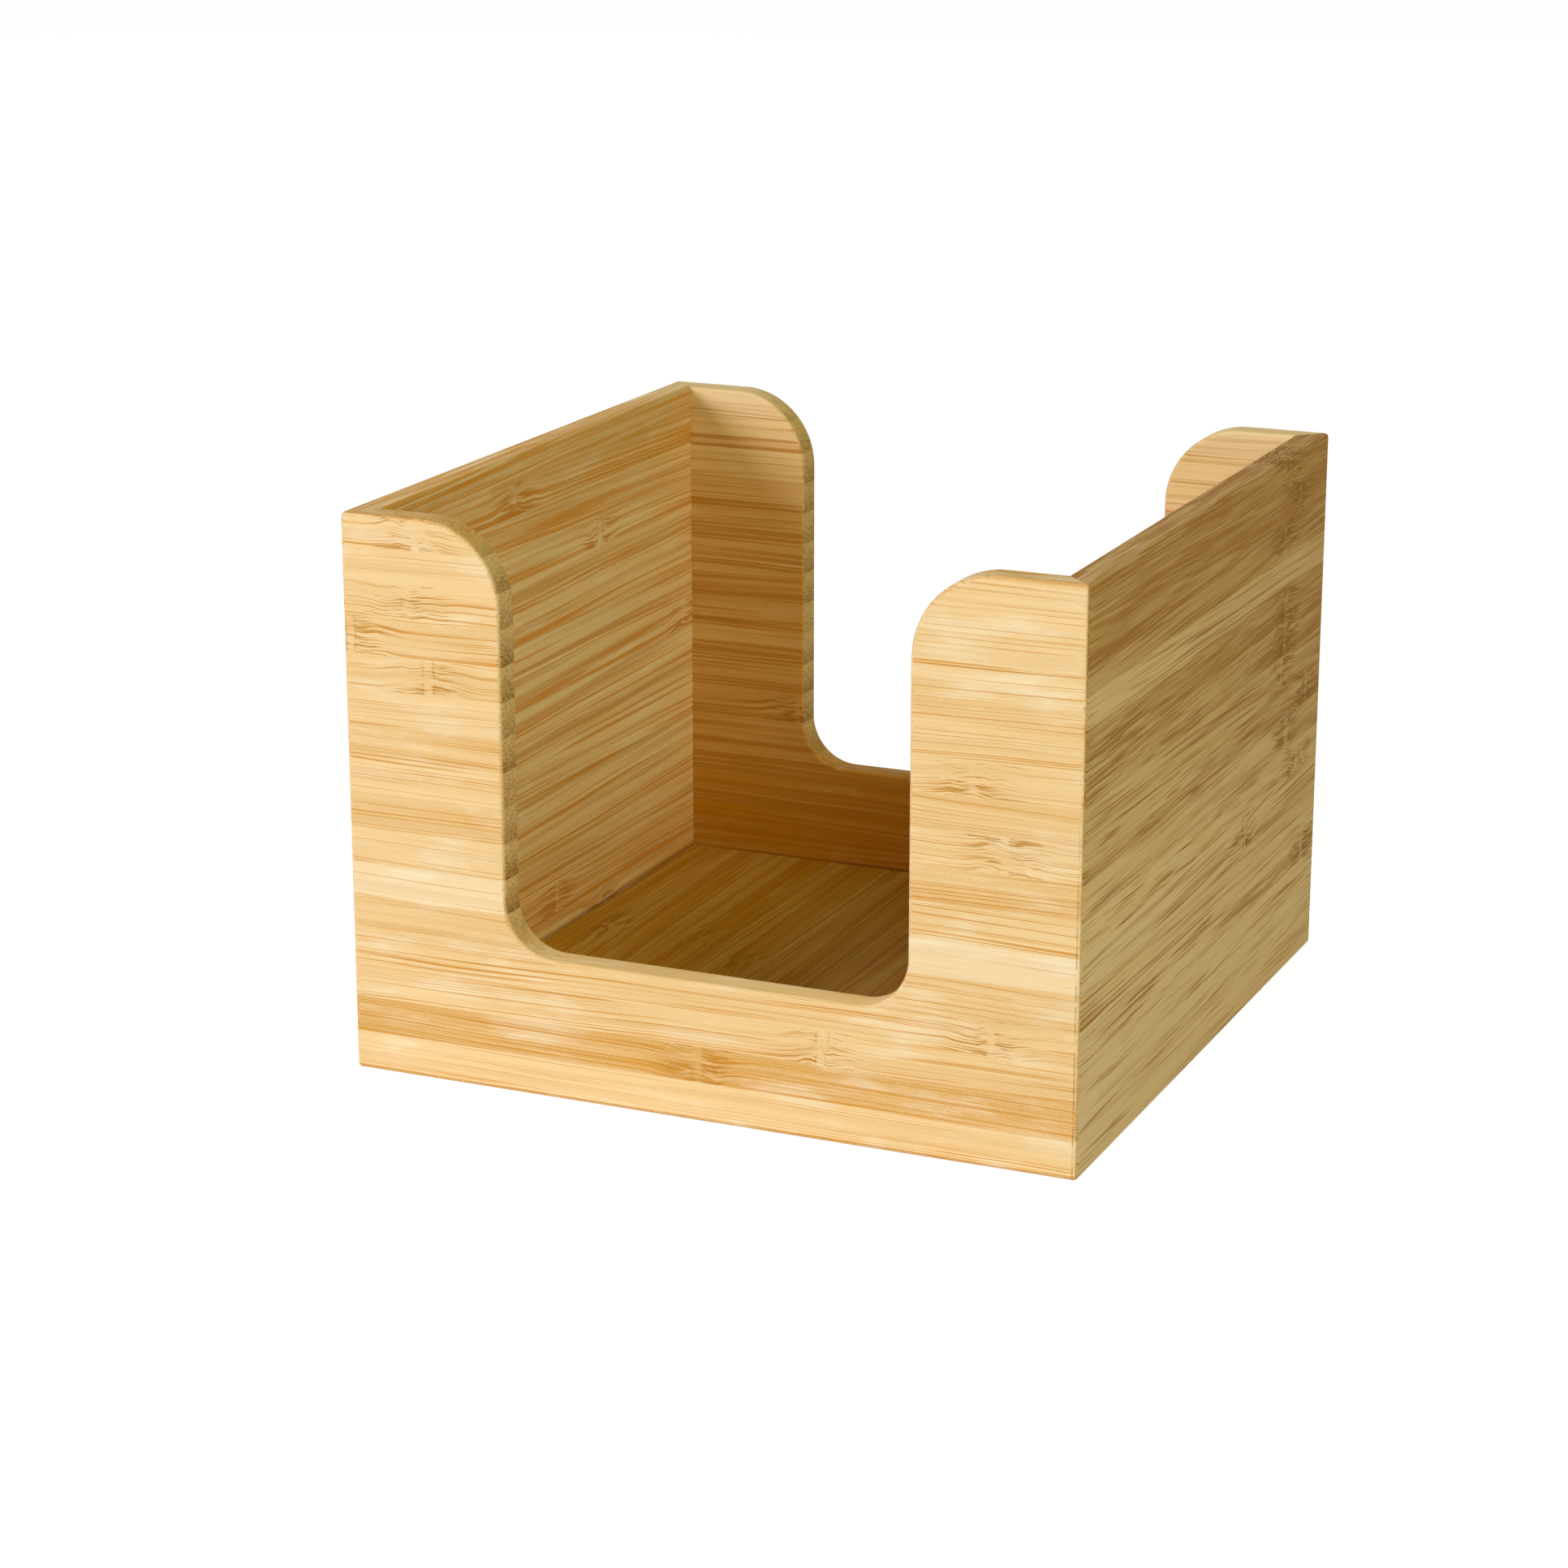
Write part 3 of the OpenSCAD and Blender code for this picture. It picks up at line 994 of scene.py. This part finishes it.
# One lamp of the studio. wide: in metres. turn and rise: degrees from the front to the right, and up.
# mirrored: whether the lacquer mirrors it.
Lamp = namedtuple("Lamp", "name power tint wide turn rise mirrored")

WHITE = (1, 1, 1, 1)
# The table as it is seen glows nearly white, and a thin matt layer on it takes the shadow
PAPER_GLOW = 0.965
PAPER_THIN = (0.12, 0.12, 0.12, 1)
PAPER_MATT = (0.8, 0.8, 0.8, 1)
# In metres: where the table's own light fades out, the table's size and how far off the lamps are
POOL_FADE = (0.15, 0.6)
TABLE_SIZE = 12
LAMP_AWAY = 2.0
# The camera's place in metres, its tilt and turn in degrees, its sensor in mm, its near limit in metres
CAMERA_AT = (0.2823, -0.6792, 0.26)
CAMERA_TILT, CAMERA_TURN = 73.72, 23.68
SENSOR = 36
NEAREST = 0.01


def seen_directly(tree):
    """1 for rays from the camera, also by way of a mirror or glass, and 0 for other light."""
    path = add(tree, "LightPath").outputs
    seen = add(tree, "Math", (path["Is Camera Ray"], path["Is Glossy Ray"]), operation="MAXIMUM")
    return add(tree, "Math", (seen, path["Is Transmission Ray"]), operation="MAXIMUM")


class HOLDER_OT_stage(bpy.types.Operator):
    """Sets up the white table, the lamps, the light from all round and the camera"""

    bl_idname = "holder.stage"
    bl_label = "Set Up Studio"
    bl_options = {"REGISTER", "UNDO"}

    def execute(self, context):
        scene = context.scene
        studio = scene.holder_studio
        scene.view_settings.view_transform = "Standard"

        bpy.ops.object.select_all(action="DESELECT")
        bpy.ops.mesh.primitive_plane_add(size=TABLE_SIZE, location=(0, 0, 0))
        table = context.object
        table.name = "white_table"
        material = bpy.data.materials.new("white_paper_sweep")
        tree = blank_tree(material)
        glow = add(tree, "Emission", {"Color": WHITE, "Strength": PAPER_GLOW})
        thin = add(tree, "BsdfDiffuse", {"Color": PAPER_THIN})
        shown = add(tree, "AddShader", (glow, thin))
        # Round the holder the paper also throws light up, as on a light table
        place = add(tree, "TexCoord")
        reach = add(tree, "VectorMath", (place.outputs["Object"],), operation="LENGTH")
        pool = add(tree, "MapRange", (reach.outputs["Value"], *POOL_FADE, studio.table, 0.0))
        upward = add(tree, "Emission", {"Color": WHITE, "Strength": pool})
        matt = add(tree, "BsdfDiffuse", {"Color": PAPER_MATT})
        bounce = add(tree, "AddShader", (matt, upward))
        paper = add(tree, "MixShader", (seen_directly(tree), bounce, shown))
        add(tree, "OutputMaterial", {"Surface": paper})
        table.data.materials.append(material)

        # The room's light goes from its strength at the horizon to that overhead
        world = bpy.data.worlds.new("soft_room")
        tree = blank_tree(world)
        place = add(tree, "TexCoord")
        height = add(tree, "SeparateXYZ", (place.outputs["Generated"],))
        level = add(tree, "MapRange", (height.outputs["Z"], 0.0, 1.0, studio.around, studio.overhead))
        warm = add(tree, "Background", {"Color": (*studio.tint, 1), "Strength": level})
        white = add(tree, "Background", {"Color": WHITE, "Strength": 1.0})
        room = add(tree, "MixShader", (seen_directly(tree), warm, white))
        add(tree, "OutputWorld", {"Surface": room})
        scene.world = world

        # A wide softbox at the front left, a warm one higher up at the right, a small low one behind
        middle = (HOLDER_LOW + HOLDER_HIGH) / 2
        for plan in (
            Lamp("key_lamp", studio.key, studio.key_tint, wide=1.0, turn=-40, rise=21.5, mirrored=True),
            Lamp("fill_lamp", studio.fill, studio.fill_tint, wide=0.9, turn=57, rise=38, mirrored=True),
            Lamp("back_lamp", studio.back, studio.back_tint, wide=0.4, turn=200, rise=6, mirrored=False),
        ):
            turn, rise = math.radians(plan.turn), math.radians(plan.rise)
            out = math.cos(rise)
            towards = Vector((math.sin(turn) * out, -math.cos(turn) * out, math.sin(rise)))
            bpy.ops.object.light_add(type="AREA", location=middle + towards * LAMP_AWAY)
            lamp = context.object
            lamp.name = plan.name
            lamp.data.shape = "DISK"
            lamp.data.size = plan.wide
            lamp.data.energy = plan.power
            lamp.data.color = plan.tint
            lamp.visible_camera = False
            lamp.visible_glossy = plan.mirrored
            lamp.rotation_euler = towards.to_track_quat("Z", "Y").to_euler()

        bpy.ops.object.camera_add(
            location=CAMERA_AT, rotation=(math.radians(CAMERA_TILT), 0, math.radians(CAMERA_TURN)),
        )
        camera = context.object
        camera.name = "camera"
        camera.data.sensor_width = SENSOR
        camera.data.lens = studio.lens
        camera.data.clip_start = NEAREST
        scene.camera = camera
        return {"FINISHED"}


class HOLDER_PT_panel(bpy.types.Panel):
    """Lists the steps and the values that a user would change"""

    bl_label = "Napkin Holder"
    bl_idname = "HOLDER_PT_panel"
    bl_space_type = "VIEW_3D"
    bl_region_type = "UI"
    bl_category = "Napkin Holder"

    def draw(self, context):
        scene = context.scene
        for step in STEPS:
            self.layout.operator(step.bl_idname)
        for group in (scene.holder_sizes, scene.holder_colours, scene.holder_studio):
            box = self.layout.box()
            for name in group.__annotations__:
                box.prop(group, name)


STEPS = (HOLDER_OT_stage, HOLDER_OT_walls, HOLDER_OT_floor, HOLDER_OT_splines)
CLASSES = (HolderSizes, BambooColours, StudioSettings, *STEPS, HOLDER_PT_panel)


def register():
    """Registers the classes and hangs the property groups on the scene."""
    for kind in CLASSES:
        bpy.utils.register_class(kind)
    bpy.types.Scene.holder_sizes = PointerProperty(type=HolderSizes)
    bpy.types.Scene.holder_colours = PointerProperty(type=BambooColours)
    bpy.types.Scene.holder_studio = PointerProperty(type=StudioSettings)


def unregister():
    """Takes off again what register put on."""
    del bpy.types.Scene.holder_studio
    del bpy.types.Scene.holder_colours
    del bpy.types.Scene.holder_sizes
    for kind in reversed(CLASSES):
        bpy.utils.unregister_class(kind)


def main():
    """Builds the scene step by step."""
    register()
    bpy.ops.holder.stage()
    bpy.ops.holder.walls()
    bpy.ops.holder.floor_board()
    bpy.ops.holder.splines()


if __name__ == "__main__":
    main()
